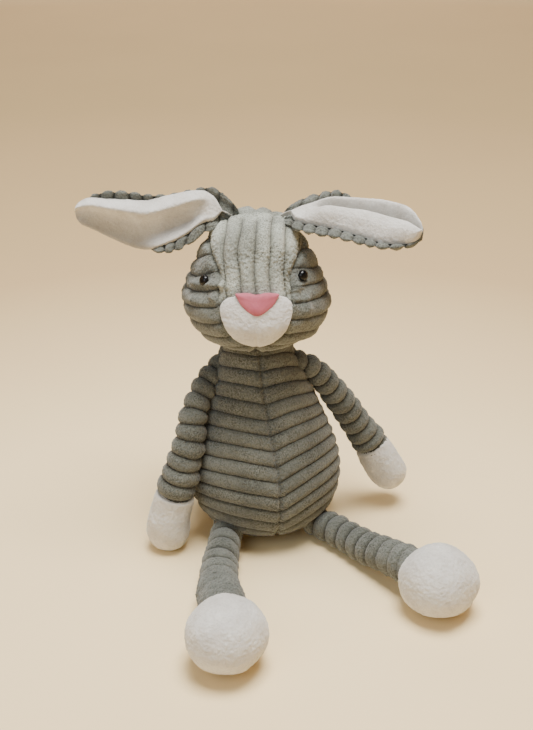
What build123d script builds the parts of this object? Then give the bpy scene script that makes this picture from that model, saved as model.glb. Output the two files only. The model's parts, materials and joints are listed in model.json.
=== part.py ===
from build123d import *
from math import cos, radians, sin
import os

# A sitting plush rabbit. The origin is the centre of its flat seat, +Z is up, and it faces -Y.
# Left and right are the toy's own, so its left side is at +X. Sizes are in millimetres.

# Fabric and clearances
cord = 3.0                  # wide-wale corduroy with its pile
fleece = 2.5                # short white fleece
ease = 0.3                  # room between curved pieces

# Torso: a pear turned about Z, with a dome at the top that the head sits on
seat_radius = 22.0
haunch = (44.5, 21.0)       # radius and height where the seat has rounded up into the belly
belly = (50.0, 50.0)
chest = (38.0, 92.0)
neck_radius = 24.0
neck_height = 128.0
base_seam_height = 9.0      # the seat panel ends here and the four side panels begin
seam_twist = 8.0            # the torso's seams are turned a little towards its left, in degrees
bag_radius = 29.0           # the bag of pellets that weighs the seat down
bag_bottom = 4.5
bag_height = 26.0

# Head: an egg turned about its own upright axis
head_center = (-4.5, -3.0)
head_bottom = 140.0
jowl = (37.0, 148.0)
cheek = (46.0, 163.0)
temple = (37.5, 190.0)
brow = (23.0, 214.0)
head_top = 220.0
head_floor_radius = 14.0
gusset_half_width = 20.5    # the forehead strip
gusset_bottom = 179.0

# Muzzle and nose, on the front of the head
muzzle_top = 182.0
muzzle_bottom = 148.5
muzzle_half_width = 22.0
muzzle_wide_height = 174.0
muzzle_puff = 2.0           # how far the muzzle stands in front of the cheeks
muzzle_chin = (13.6, 155.5) # sideways distance and height where the sides turn in to the chin
muzzle_shoulder = 17.2      # half the muzzle's width at its top corners
muzzle_crown = 182.6        # height of the muzzle's top between those corners
nose_top = 184.0
nose_tip = 171.5
nose_half_width = 13.0
nose_flank = (7.2, 176.0)   # sideways distance and height halfway down the nose's sides
nose_corner = 183.0         # height of the nose's two top corners
nose_puff = 3.2
nose_depth = 1.0

# Safety eyes: a bead on a shank, held inside by a washer
eye_places = {"left": (23.4, -28.1, 190.8), "right": (-34.8, -27.4, 187.2)}
eye_facing = {"left": (0.7, -0.62, 0.33), "right": (-0.7, -0.62, 0.33)}
eye_radius = 3.4
eye_height = 2.8
shank_radius = 1.1
shank_length = 9.0
washer_radius = 5.0
washer_thickness = 1.2
washer_depth = 4.2          # from the bead's back down to the washer

# Ears: two layers in a leaf shape, turning on a round root
ear_length = 92.0
ear_half_width = 16.0
ear_root_radius = 4.5
ear_cord = 5.0
ear_outline = (             # distance along the ear and half its width there
    (0.0, 3.6),
    (11.0, 5.0),
    (32.2, 13.6),
    (57.0, ear_half_width),
    (84.6, 9.6),
)
ear_sides = {
    "left": {"root": (20.0, -5.0, 221.5), "along": (0.86, -0.5, 0.03), "faces": (0.0, -0.5, 0.86)},
    "right": {"root": (-26.0, -3.0, 221.0), "along": (-1.0, 0.0, 0.03), "faces": (0.0, -0.9, 0.42)},
}

# Arms: a curved tapering sleeve from the shoulder to the wrist, and a mitten below it
shoulder_radius = 5.5
arm_radii = (shoulder_radius, 7.0, 8.5, 10.3, 12.0)
hand_radius = 14.0
hand_length = 14.0          # between the centres of the mitten's two round ends
arm_sides = {
    "left": {"shoulder": (34.5, 4.5, 112.5), "bend": (57.0, 13.0, 79.0), "wrist": (77.9, 18.0, 39.2),
             "hand": (6.8, 0.0, -12.2)},
    "right": {"shoulder": (-34.5, -8.0, 112.5), "bend": (-48.5, -28.5, 78.0), "wrist": (-59.5, -36.0, 28.4),
              "hand": (-2.5, 0.0, -13.8)},
}

# Legs: a sleeve lying on the surface, and a round foot at its end
hip_radius = 10.0
leg_radii = (hip_radius, 10.2, 10.6, 11.4, 12.5)
foot_radius = 25.0
leg_sides = {
    "left": {"hip": (35.0, -22.5, 10.5), "bend": (64.0, -50.0, 12.5), "foot": (106.7, -102.0, 25.0)},
    "right": {"hip": (-24.0, -34.0, 10.5), "bend": (-27.5, -82.0, 13.0), "foot": (-21.0, -152.0, 25.0)},
}

# Tail: a round tuft low on the back
tail_radius = 12.0
tail_center = (-5.0, 52.0, 20.0)

# Hollows that the round ends of the limbs sit in
shoulder_socket = 9.5
hip_socket = 11.5
ear_socket = 7.0
neck_center = (0.0, 0.0, neck_height)

os.makedirs("parts", exist_ok=True)


def save(piece, label):
    """Label a finished piece and write it as one STEP file."""
    piece.part.label = label
    export_step(piece.part, f"parts/{label}.step")


def torso_section(inset, angle=0.0):
    """The torso's half section, moved in by inset, on the upright plane at this angle about Z."""
    plane = Plane(
        origin=(0, 0, 0),
        x_dir=(cos(radians(angle)), sin(radians(angle)), 0),
        z_dir=(sin(radians(angle)), -cos(radians(angle)), 0),
    )
    dome_radius = neck_radius - inset
    with BuildSketch(plane) as section:
        with BuildLine():
            seat = Line((0, inset), (seat_radius - inset / 2, inset))
            side = Spline(
                seat @ 1,
                (haunch[0] - inset, haunch[1]),
                (belly[0] - inset, belly[1]),
                (chest[0] - inset, chest[1]),
                (dome_radius, neck_height),
                tangents=((1, 0.25), (0, 1)),
            )
            dome = CenterArc((0, neck_height), dome_radius, 0, 90)
            Line(dome @ 1, seat @ 0)
        make_face()
    return section.sketch


def cut_torso_sockets():
    """Hollow out the pieces of the torso where the limbs and the tail are sewn in."""
    for side in ("left", "right"):
        with Locations(arm_sides[side]["shoulder"]):
            Sphere(shoulder_socket, mode=Mode.SUBTRACT)
        with Locations(leg_sides[side]["hip"]):
            Sphere(hip_socket, mode=Mode.SUBTRACT)
    with Locations(tail_center):
        Sphere(tail_radius + ease, mode=Mode.SUBTRACT)


def make_torso_panel(label, first_seam):
    """One of the four upright panels, from one seam round to the next."""
    with BuildPart() as panel:
        revolve(torso_section(0, first_seam), axis=Axis.Z, revolution_arc=90)
        revolve(torso_section(cord, first_seam), axis=Axis.Z, revolution_arc=90, mode=Mode.SUBTRACT)
        split(bisect_by=Plane.XY.offset(base_seam_height), keep=Keep.TOP)
        cut_torso_sockets()
    save(panel, label)


def make_torso():
    """The four panels, the seat panel, the pellet bag and the stuffing."""
    make_torso_panel("torso_front_left", seam_twist - 90)
    make_torso_panel("torso_back_left", seam_twist)
    make_torso_panel("torso_back_right", seam_twist + 90)
    make_torso_panel("torso_front_right", seam_twist + 180)

    with BuildPart() as seat_panel:
        revolve(torso_section(0), axis=Axis.Z)
        revolve(torso_section(cord), axis=Axis.Z, mode=Mode.SUBTRACT)
        split(bisect_by=Plane.XY.offset(base_seam_height), keep=Keep.BOTTOM)
        cut_torso_sockets()
    save(seat_panel, "torso_seat_panel")

    def bag_form(room):
        middle = bag_bottom + bag_height / 2
        with BuildSketch(Plane.XZ) as half:
            with BuildLine():
                rim = Spline(
                    (0, bag_bottom - room),
                    (bag_radius + room, middle),
                    (0, bag_bottom + bag_height + room),
                    tangents=((1, 0), (-1, 0)),
                )
                Line(rim @ 1, rim @ 0)
            make_face()
        return half.sketch

    with BuildPart() as pellet_bag:
        revolve(bag_form(0), axis=Axis.Z)
        cut_torso_sockets()
    save(pellet_bag, "pellet_bag")

    with BuildPart() as stuffing:
        revolve(torso_section(cord + 2 * ease), axis=Axis.Z)
        revolve(bag_form(ease), axis=Axis.Z, mode=Mode.SUBTRACT)
        cut_torso_sockets()
    save(stuffing, "torso_stuffing")


def head_form(inset):
    """The whole head as a solid, moved in by inset, or out if inset is negative."""
    with BuildPart() as form:
        with BuildSketch(Plane.XZ.offset(-head_center[1]).shift_origin((head_center[0], head_center[1], 0))):
            with BuildLine():
                floor = Line((0, head_bottom + inset), (head_floor_radius, head_bottom + inset))
                side = Spline(
                    floor @ 1,
                    (jowl[0] - inset, jowl[1] + inset / 2),
                    (cheek[0] - inset, cheek[1]),
                    (temple[0] - inset, temple[1]),
                    (brow[0] - inset, brow[1] - inset / 2),
                    (0, head_top - inset),
                    tangents=((1, 0), (-1, 0)),
                )
                Line(side @ 1, floor @ 0)
            make_face()
        revolve(axis=Axis((head_center[0], head_center[1], 0), (0, 0, 1)))
    return form.part


def face_prism(sketch_points):
    """A prism cut forward through the front of the head, from a rounded outline of width and height."""
    with BuildPart() as prism:
        with BuildSketch(Plane.XZ.offset(-head_center[1])):
            with BuildLine():
                Spline(*[(head_center[0] + x, z) for x, z in sketch_points], periodic=True)
            make_face()
        extrude(amount=2 * cheek[0])
    return prism.part


def eye_plane(side):
    """The plane under one eye, facing straight out of the head."""
    return Plane(origin=eye_places[side], x_dir=(0, 0, 1), z_dir=eye_facing[side])


def cut_neck_socket():
    """Hollow out the underside of the head where it turns on the torso's dome."""
    with Locations(neck_center):
        Sphere(neck_radius + ease, mode=Mode.SUBTRACT)


def cut_ear_sockets():
    """Hollow out the top of the head where the roots of the ears are sewn in."""
    for side in ("left", "right"):
        with Locations(ear_sides[side]["root"]):
            Sphere(ear_socket, mode=Mode.SUBTRACT)


def make_eye(side):
    """One bead with its shank, and the washer that holds it from inside."""
    plane = eye_plane(side)
    with BuildPart() as eye:
        with BuildSketch(plane) as shank:
            Circle(shank_radius)
        extrude(shank.sketch, amount=-shank_length)
        with BuildSketch(plane) as rim:
            Circle(eye_radius)
        extrude(rim.sketch, amount=eye_height)
        front_edge = eye.edges().filter_by(GeomType.CIRCLE).sort_by(Axis(plane.origin, plane.z_dir))[-1]
        fillet(front_edge, eye_height - ease)
    save(eye, f"eye_{side}")
    with BuildPart() as washer:
        with BuildSketch(plane.offset(-washer_depth)) as ring:
            Circle(washer_radius)
            Circle(shank_radius, mode=Mode.SUBTRACT)
        extrude(ring.sketch, amount=-washer_thickness)
    save(washer, f"eye_washer_{side}")
    return eye.part, washer.part


def make_head():
    """The panels of the head, its face, its eyes and its stuffing."""
    outer = head_form(0)
    inner = head_form(cord)
    muzzle_outline = (
        (0, muzzle_bottom),
        muzzle_chin,
        (muzzle_half_width, muzzle_wide_height),
        (muzzle_shoulder, muzzle_top),
        (0, muzzle_crown),
        (-muzzle_shoulder, muzzle_top),
        (-muzzle_half_width, muzzle_wide_height),
        (-muzzle_chin[0], muzzle_chin[1]),
    )
    nose_outline = (
        (0, nose_tip),
        nose_flank,
        (nose_half_width, nose_corner),
        (0, nose_top),
        (-nose_half_width, nose_corner),
        (-nose_flank[0], nose_flank[1]),
    )
    muzzle_prism = face_prism(muzzle_outline)
    nose_prism = face_prism(nose_outline)
    eyes = [*make_eye("left"), *make_eye("right")]
    seam_center = Plane.YZ.offset(head_center[0])
    seam_back = Plane.XZ.offset(-head_center[1])

    with BuildPart() as nose:
        add(head_form(-nose_puff))
        add(head_form(-nose_depth), mode=Mode.SUBTRACT)
        add(nose_prism, mode=Mode.INTERSECT)
    save(nose, "nose")

    with BuildPart() as muzzle:
        add(head_form(-muzzle_puff))
        add(inner, mode=Mode.SUBTRACT)
        add(muzzle_prism, mode=Mode.INTERSECT)
        add(nose.part, mode=Mode.SUBTRACT)
    save(muzzle, "muzzle")

    with BuildPart() as gusset_block:
        with BuildSketch(Plane.XY.offset(gusset_bottom)):
            with Locations((head_center[0], head_center[1])):
                Rectangle(2 * gusset_half_width, 2 * cheek[0], align=(Align.CENTER, Align.MAX))
        extrude(amount=head_top)

    with BuildPart() as gusset:
        add(outer)
        add(inner, mode=Mode.SUBTRACT)
        add(gusset_block.part, mode=Mode.INTERSECT)
        add(muzzle_prism, mode=Mode.SUBTRACT)
        add(nose.part, mode=Mode.SUBTRACT)
        cut_ear_sockets()
    save(gusset, "head_gusset")

    for side, keep in (("left", Keep.TOP), ("right", Keep.BOTTOM)):
        with BuildPart() as cheek_panel:
            add(outer)
            add(inner, mode=Mode.SUBTRACT)
            split(bisect_by=seam_back, keep=Keep.TOP)
            split(bisect_by=seam_center, keep=keep)
            add(gusset_block.part, mode=Mode.SUBTRACT)
            add(muzzle_prism, mode=Mode.SUBTRACT)
            add(nose.part, mode=Mode.SUBTRACT)
            cut_neck_socket()
            cut_ear_sockets()
            for hardware in eyes:
                add(hardware, mode=Mode.SUBTRACT)
        save(cheek_panel, f"cheek_{side}")

        with BuildPart() as back_panel:
            add(outer)
            add(inner, mode=Mode.SUBTRACT)
            split(bisect_by=seam_back, keep=Keep.BOTTOM)
            split(bisect_by=seam_center, keep=keep)
            cut_neck_socket()
            cut_ear_sockets()
        save(back_panel, f"head_back_{side}")

    with BuildPart() as stuffing:
        add(head_form(cord + ease))
        cut_neck_socket()
        cut_ear_sockets()
        for hardware in eyes:
            add(hardware, mode=Mode.SUBTRACT)
    save(stuffing, "head_stuffing")


def make_ear(side):
    """One ear: a corduroy back on a round root, and a fleece lining on its front."""
    frame = ear_sides[side]
    plane = Plane(origin=frame["root"], x_dir=frame["along"], z_dir=frame["faces"])

    lower_edge = [(along, -half) for along, half in ear_outline]
    upper_edge = [(along, half) for along, half in reversed(ear_outline)]
    with BuildSketch(plane) as leaf:
        with BuildLine():
            rim = Spline(*lower_edge, (ear_length, 0), *upper_edge)
            Line(rim @ 1, rim @ 0)
        make_face()

    with BuildPart() as back:
        extrude(leaf.sketch, amount=-ear_cord)
        with Locations(frame["root"]):
            Sphere(ear_root_radius)
    with BuildPart() as lining:
        extrude(leaf.sketch, amount=fleece)
        add(back.part, mode=Mode.SUBTRACT)
    save(back, f"ear_back_{side}")
    save(lining, f"ear_lining_{side}")


def limb_solid(path, radii, inset):
    """A round tapering tube along a path, each radius made smaller by inset."""
    with BuildPart() as tube:
        for number, radius in enumerate(radii):
            place = number / (len(radii) - 1)
            with BuildSketch(Plane(origin=path @ place, z_dir=path % place)):
                Circle(radius - inset)
        loft()
    return tube.part


def make_limb(label, root, bend, end, radii, far_center, far_radius):
    """A sleeve that starts in a ball at its root and ends round the ball at its far end, and its filling."""
    path = ThreePointArc(root, bend, end)
    with BuildPart() as sleeve:
        add(limb_solid(path, radii, 0))
        with Locations(root):
            Sphere(radii[0])
        add(limb_solid(path, radii, cord), mode=Mode.SUBTRACT)
        with Locations(root):
            Sphere(radii[0] - cord, mode=Mode.SUBTRACT)
        with Locations(far_center):
            Sphere(far_radius + ease, mode=Mode.SUBTRACT)
    save(sleeve, f"{label}_sleeve")
    with BuildPart() as filling:
        add(limb_solid(path, radii, cord + ease))
        with Locations(root):
            Sphere(radii[0] - cord - ease)
        with Locations(far_center):
            Sphere(far_radius + ease, mode=Mode.SUBTRACT)
    save(filling, f"{label}_stuffing")


def make_arm(side):
    """One arm and its mitten."""
    arm = arm_sides[side]
    wrist = Vector(*arm["wrist"])
    hand_way = Vector(*arm["hand"]).normalized()
    rim_height = (hand_radius**2 - arm_radii[-1] ** 2) ** 0.5
    end = wrist - hand_way * rim_height
    make_limb(f"arm_{side}", Vector(*arm["shoulder"]), Vector(*arm["bend"]), end, arm_radii, wrist, hand_radius)

    def mitten(radius):
        with BuildSketch(Plane(origin=wrist, z_dir=hand_way)) as round_section:
            Circle(radius)
        extrude(round_section.sketch, amount=hand_length)
        for center in (wrist, wrist + hand_way * hand_length):
            with Locations(center):
                Sphere(radius)

    with BuildPart() as filling:
        mitten(hand_radius - fleece - ease)
    with BuildPart() as hollow:
        mitten(hand_radius - fleece)
    with BuildPart() as cover:
        mitten(hand_radius)
        add(hollow.part, mode=Mode.SUBTRACT)
    save(cover, f"hand_cover_{side}")
    save(filling, f"hand_stuffing_{side}")


def make_leg(side):
    """One leg and its round foot."""
    leg = leg_sides[side]
    foot = Vector(*leg["foot"])
    bend = Vector(*leg["bend"])
    hip = Vector(*leg["hip"])
    ankle_way = (foot - bend).normalized()
    rim_height = (foot_radius**2 - leg_radii[-1] ** 2) ** 0.5
    end = foot - ankle_way * rim_height
    make_limb(f"leg_{side}", hip, bend, end, leg_radii, foot, foot_radius)

    with BuildPart() as cover:
        with Locations(foot):
            Sphere(foot_radius)
            Sphere(foot_radius - fleece, mode=Mode.SUBTRACT)
    save(cover, f"foot_cover_{side}")
    with BuildPart() as filling:
        with Locations(foot):
            Sphere(foot_radius - fleece - ease)
    save(filling, f"foot_stuffing_{side}")


def make_tail():
    """The round tail and its filling."""
    with BuildPart() as cover:
        with Locations(tail_center):
            Sphere(tail_radius)
            Sphere(tail_radius - fleece, mode=Mode.SUBTRACT)
    save(cover, "tail_cover")
    with BuildPart() as filling:
        with Locations(tail_center):
            Sphere(tail_radius - fleece - ease)
    save(filling, "tail_stuffing")


make_torso()
make_head()
make_tail()
for side in ("left", "right"):
    make_ear(side)
    make_arm(side)
    make_leg(side)
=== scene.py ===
import json
import math

import bpy
import numpy as np
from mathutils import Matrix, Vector


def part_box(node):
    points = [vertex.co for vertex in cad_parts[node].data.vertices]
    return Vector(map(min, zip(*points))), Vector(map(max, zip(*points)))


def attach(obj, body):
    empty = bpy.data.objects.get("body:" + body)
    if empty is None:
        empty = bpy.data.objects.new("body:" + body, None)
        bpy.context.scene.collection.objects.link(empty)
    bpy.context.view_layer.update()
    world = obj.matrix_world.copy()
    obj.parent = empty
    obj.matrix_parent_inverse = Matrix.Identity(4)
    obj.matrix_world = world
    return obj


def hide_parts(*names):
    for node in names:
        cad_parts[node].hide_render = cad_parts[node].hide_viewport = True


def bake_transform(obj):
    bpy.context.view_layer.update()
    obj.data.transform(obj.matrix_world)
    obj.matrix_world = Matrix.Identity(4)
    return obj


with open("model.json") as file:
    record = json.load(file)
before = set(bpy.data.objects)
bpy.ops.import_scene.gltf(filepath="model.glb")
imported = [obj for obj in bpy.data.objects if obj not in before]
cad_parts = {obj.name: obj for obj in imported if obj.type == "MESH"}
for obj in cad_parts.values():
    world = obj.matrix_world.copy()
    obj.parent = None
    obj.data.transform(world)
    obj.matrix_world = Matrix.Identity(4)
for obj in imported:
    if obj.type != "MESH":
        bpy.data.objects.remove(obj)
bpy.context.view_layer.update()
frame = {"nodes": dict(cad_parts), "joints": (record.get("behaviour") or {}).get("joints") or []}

# A sitting plush rabbit in wide-wale corduroy and white fleece. Lengths are metres, except where a
# comment says millimetres. The toy faces -Y and its own left side is at +X. Angles round it start
# straight ahead and grow towards its left.

MM = 0.001
joints = {joint["name"]: joint for joint in frame["joints"]}

# Fabric
WALE = 10.3 * MM            # width of one corduroy rib
RIB = 2.6 * MM              # height of a rib above the groove beside it
PILE = 0.24 * MM            # how far the tufts of the pile stand out
SKIN = 1.2 * MM             # the outline that the ribs stand on lies this far inside the stations
SPACING = 0.45 * MM         # between the points along a panel, a sleeve or a mitten

# Torso: the radius and height of its outline in millimetres, as a pear with a neck
TORSO_STATIONS = ((24.0, 0.0), (45.0, 20.0), (50.0, 50.0), (36.0, 92.0), (23.0, 128.0))
NECK_HEIGHT = 128.0 * MM
NECK_DOME = (20, 40, 60)    # degrees up the round dome on the neck
NECK_LEAN = -4.0 * MM       # the neck stands this far to the toy's right of the seat
SEAT_SEAM = 9.0 * MM        # the seat panel ends here
CORD_GAP = 0.3 * MM         # the torso's corduroy stays this far above the floor
PANEL_COLUMNS = 190
SEAT_COLUMNS = 240
SEAT_ROWS = 40
SEAT_SPACING = 0.6 * MM
FIRST_GROOVE = 3.2 * MM     # along the side from its foot, at the seam
CHEVRON_LOW = 20 * MM       # the chevron's slope changes between these heights
CHEVRON_HIGH = 125 * MM
# How steeply a side's wales climb away from the seam, low down and at the neck, and how they level out
CHEVRON = {"left": (0.68, 0.23, 0.37), "right": (0.36, 0.23, 0.26)}

# Head: the radius and height of its outline in millimetres
HEAD_STATIONS = (
    (14.0, 140.0), (37.0, 148.0), (46.0, 163.0), (45.0, 172.0), (36.8, 190.0),
    (31.0, 201.0), (26.5, 209.0), (21.0, 215.0), (12.0, 219.0), (0.0, 220.0),
)
HEAD_MIDDLE = np.array([-4.5, -3.0]) * MM
HEAD_FIBRE_FOOT = 147 * MM  # the head's fibre meets the hollow round the neck here
HEAD_COLUMNS = 600
HEAD_RIB = 2.7 * MM         # height of the head's ribs
FAR = 1.0                   # a metre: farther than any seam
GUSSET_HALF = 20.5 * MM     # half the width of the panel down the middle of the face
GUSSET_FOOT = 179 * MM      # the gusset starts at this height, above the muzzle
FACE_WALE = 8.9 * MM        # width of the gusset's ribs
CHEEK_WALE = 11.0 * MM      # width of the cheeks' ribs
EAR_SEAM = 2 * MM           # the seam from ear to ear lies this far behind the head's middle
HOLLOW_TILT = (0.02, 0.78)  # radians from straight up: the part of a ball that the hollow covers
NECK_HOLE = 25.4 * MM       # the head is open round the neck's dome, this far from where it turns
# Soft folds of the cheeks round the eyes: start, end, width and height in millimetres
EYE_FOLDS = (
    ((-41.0, -20.0, 181.6), (-24.0, -35.5, 187.0), 2.4, 3.4),
    ((-38.5, -26.0, 172.6), (-33.0, -31.0, 172.2), 4.4, 3.0),
    ((-27.5, -36.0, 180.5), (-24.5, -38.0, 175.6), 3.0, 2.6),
    ((-41.0, -19.0, 194.0), (-33.0, -25.0, 199.0), 1.6, -2.4),
    ((16.5, -34.0, 184.0), (26.5, -28.5, 186.6), 2.3, 3.0),
    ((17.0, -37.5, 179.0), (16.4, -37.5, 171.0), 2.7, 2.8),
    ((25.0, -34.0, 177.0), (24.0, -35.0, 169.5), 3.6, 2.8),
    ((28.0, -25.0, 197.0), (33.0, -18.0, 193.0), 1.6, -2.2),
)

# Patches on the face: sideways distance from the head's middle, and height, in millimetres
MUZZLE_OUTLINE = (
    (9.0, 184.2), (17.6, 182.4), (22.8, 176.0), (19.4, 164.5), (11.6, 155.2), (0.8, 151.6),
    (-10.5, 155.2), (-18.4, 164.5), (-21.6, 176.0), (-15.4, 182.8), (-8.0, 184.2), (0.5, 184.0),
)
MUZZLE_CENTRE = (0.4, 170.0)
NOSE_OUTLINE = (
    (1.0, 172.8), (-3.8, 174.6), (-8.4, 178.6), (-10.6, 182.0), (-11.6, 184.4), (-8.4, 185.0), (-4.4, 185.4),
    (0.6, 184.6), (5.6, 185.4), (9.8, 185.0), (13.6, 184.0), (12.6, 181.6), (10.4, 178.2), (5.8, 174.6),
)
NOSE_CENTRE = (0.6, 180.2)

# Ears: distance from the root, the lining's top and bottom edges, and how far the corduroy
# behind it reaches past them, above and below, in millimetres
LEFT_EAR = (
    (-11, 0.3, -0.3, 0.2, 0.2), (-9.5, 2.5, -2.5, 3.5, 3.0), (-5, 4.5, -3.5, 6.0, 5.0),
    (0, 6.5, -4.5, 7.0, 5.5), (9, 12.5, -6.0, 6.0, 6.5), (20, 16.0, -6.5, 3.5, 7.0),
    (34, 17.5, -7.0, -0.8, 6.5), (50, 19.0, -9.5, -1.0, 5.5), (62, 17.5, -11.0, -1.0, 4.5),
    (70, 14.0, -10.5, -1.0, 3.5), (76, 9.0, -8.6, -1.0, 1.8), (79.5, 5.0, -6.0, -0.6, 0.3),
    (81.2, 1.2, -2.8, 0.0, 0.0), (81.6, -0.6, -1.0, 0.0, 0.0),
)
RIGHT_EAR = (
    (-12, 0.3, -0.3, 0.2, 0.2), (-10.5, 3.0, -3.0, 2.5, 2.5), (-5, 5.0, -4.0, 4.5, 4.0),
    (2, 8.5, -4.5, 5.0, 5.0), (10, 13.0, -6.0, 1.5, 6.5), (20, 12.5, -13.5, -0.2, 6.5),
    (32, 9.5, -20.0, 0.2, 4.5), (44, 6.5, -23.0, 2.6, -0.8), (57, 7.0, -20.5, 3.6, -1.4),
    (68, 7.0, -15.5, 3.4, -1.4), (78, 7.0, -11.2, 0.5, -1.2), (83.5, 5.0, -8.8, -1.6, -1.8),
    (86.2, 2.2, -5.8, -2.4, -2.4), (87, -1.0, -2.4, -0.4, -0.4),
)
EAR_SPACING = 0.42 * MM
EAR_COLUMNS = 220
LINING_COLUMNS = 110
EAR_RIB = 2.2 * MM          # height of an ear's ribs
EAR_WALE = 8.2 * MM

# Limbs: the middle line and radius of each sleeve and mitten, from x, y, z and radius in millimetres
RIGHT_ARM = (
    (-19, 4, 123, 4.0), (-29.5, -2.5, 117.5, 6.0), (-36.5, -10.5, 109, 7.6), (-43.6, -20, 95.5, 8.6),
    (-46.7, -28, 78, 9.8), (-52, -33, 58, 11.2), (-55.9, -35.6, 46, 11.8), (-58.2, -36, 34, 8.5),
    (-59.0, -36, 29, 2.0),
)
LEFT_ARM = (
    (12, -2, 125, 4.0), (23, 0.4, 119.5, 6.2), (33, 3.6, 111.5, 7.4), (45, 8.5, 94.5, 8.5),
    (55, 12, 78, 9.2), (64.0, 15, 63, 10.0), (71.5, 17.4, 50.5, 11.2), (77, 18, 41, 8.5),
    (79.5, 18, 36.5, 2.0),
)
RIGHT_LEG = (
    (-23, -22, 12, 8.0), (-24, -33, 11.5, 9.8), (-25.5, -50, 11.6, 10.2), (-26.8, -68, 12.2, 10.6),
    (-27.6, -88, 13.6, 11.6), (-26.0, -108, 16.5, 13.4), (-23.5, -126, 20, 13.6), (-22, -140, 23, 10.0),
    (-21.5, -144, 24, 2.0),
)
LEFT_LEG = (
    (27, -14, 11.5, 8.0), (36, -22.5, 10.8, 9.6), (48, -34, 11.0, 10.0), (60, -46.5, 11.8, 10.2),
    (72, -61, 14.5, 10.6), (85, -77, 19, 11.2), (95, -89, 22, 11.2), (102, -97, 24, 9.0),
    (104, -99, 24.5, 2.0),
)
RIGHT_HAND = (
    (-57.0, -36, 42.2, 9.0), (-57.1, -36, 41.8, 11.8), (-57.6, -36, 39.5, 13.2), (-59.5, -36, 30.0, 13.6),
    (-61.8, -36, 16.0, 14.3), (-62.5, -36, 9.0, 13.2), (-62.8, -36, 4.0, 10.2), (-62.9, -36, 1.4, 6.2),
    (-63.0, -36, 0.6, 0.2),
)
LEFT_HAND = (
    (73.2, 18, 47.4, 8.0), (73.5, 18, 46.8, 10.8), (74.4, 18, 45.2, 12.0), (78.4, 18, 38.2, 13.2),
    (84.0, 18, 28.2, 14.0), (87.8, 18, 21.6, 13.0), (90.4, 18, 17.0, 9.8), (91.8, 18, 14.6, 5.8),
    (92.2, 18, 13.9, 0.2),
)
SLEEVE_COLUMNS = 170
SLEEVE_RIB = 2.7 * MM       # height of a sleeve's ribs
SLEEVE_CLOSE = 3 * MM       # a sleeve's relief fades out this far from its ends
SLEEVE_FILL_END = 20 * MM   # a limb's fibre stops this far from its sleeve's ends
HAND_COLUMNS = 190
HAND_FLAT = 0.92            # a hand's thickness as a part of its width
HAND_FILL_START = 16 * MM   # a hand's fibre starts this far below its rim
FLEECE_GAP = 0.2 * MM       # the fleece stays this far above the floor
FLEECE_PILE = 0.29 * MM     # how far the fleece's tufts stand out
FLEECE_TUFT = 1.4 * MM      # about how wide they are
BALL_SPACING = 0.5          # millimetres between the points of a foot or the tail

# Fibre inside the covers
FIBRE_LUMP = 0.5 * MM
FIBRE_STEP = 3              # the fibre uses every third row and column of the grid it is made from
TORSO_FIBRE_SPACING = 0.8 * MM
TORSO_FIBRE_COLUMNS = 300
LIMB_FIBRE = 4.2 * MM       # how far inside a sleeve its fibre lies
SOFT_FIBRE = 4.0 * MM       # the same for the head, the hands, the feet and the tail
TORSO_FIBRE = 5.2 * MM      # the same for the torso

# Camera and stage
LENS = 59.178               # focal length in millimetres
SENSOR = 36                 # the sensor's width in millimetres
CAMERA_PITCH = math.radians(27.13)
CAMERA_PLACE = (2 * MM, -688 * MM, 469 * MM)
FLOOR_RADIUS = 2.4
CURVE_RADIUS = 1.0          # the floor sweeps up into the wall on this radius
WALL_TOP = 2.2
FLOOR_COLUMNS = 96
FADE_END = 3.5              # the floor's colour and its painted light falloff spread over this distance from the toy
TOY_PLACE = (0, -0.1, 0)    # the floor's painted pool of light is palest here
# Lights: place, target, size, power in watts and colour
LIGHTS = {
    "key": ((0.12, -0.12, 1.7), (0, -0.05, 0.1), 0.8, 58, (1.0, 0.98, 0.95)),
    "fill": ((-0.8, -1.2, 1.0), (0, 0, 0.1), 1.2, 10, (0.74, 0.88, 1.0)),
    "back": ((0, 2.3, 1.5), (0, 2.3, 0), 1.5, 20, (1.0, 0.98, 0.95)),
}


def place(name):
    """The point where a joint sits, in metres."""
    return np.array(joints[name]["pos_m"], float)


def middle(node):
    """The middle of a CAD node's box."""
    low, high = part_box(node)
    return np.array((low + high) / 2)


# ---------------------------------------------------------------- numbers, noise and curves

def smooth(value, low, high):
    """0 below low, 1 above high, and a smooth step between."""
    t = np.clip((value - low) / (high - low), 0, 1)
    return t * t * (3 - 2 * t)


def bump(distance, radius):
    """1 at distance 0, falling to almost nothing at twice the radius."""
    return np.exp(-(distance / radius) ** 2)


def unit(vector):
    """The vector at length 1."""
    vector = np.array(vector, float)
    return vector / np.linalg.norm(vector)


def corner_value(corner, seed):
    """A repeatable value from -1 to 1 for each whole-numbered corner."""
    key = corner[:, 0] * 374761393 + corner[:, 1] * 668265263
    key = key + corner[:, 2] * 1440662683 + seed * 974634777
    key = (key ^ (key >> 13)) * 1274126177
    key = key ^ (key >> 16)
    return (key & 0xFFFF) / 32767.5 - 1


def value_noise(points, cell, seed):
    """Smooth values from -1 to 1, for an array of points, with features of about one cell."""
    flat = points.reshape(-1, 3) / cell + 131.7 + 17.3 * seed
    corner = np.floor(flat).astype(np.int64)
    part = flat - corner
    part = part * part * (3 - 2 * part)
    total = np.zeros(len(flat))
    for step in np.ndindex(2, 2, 2):
        weight = np.where(step, part, 1 - part).prod(axis=1)
        total += corner_value(corner + step, seed) * weight
    return total.reshape(points.shape[:-1])


def spline(a, b, c, d, t):
    """Points between b and c on the smooth curve that also runs through a and d."""
    return 0.5 * (2 * b + (c - a) * t + (2 * a - 5 * b + 4 * c - d) * t**2 + (3 * b - a - 3 * c + d) * t**3)


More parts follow.
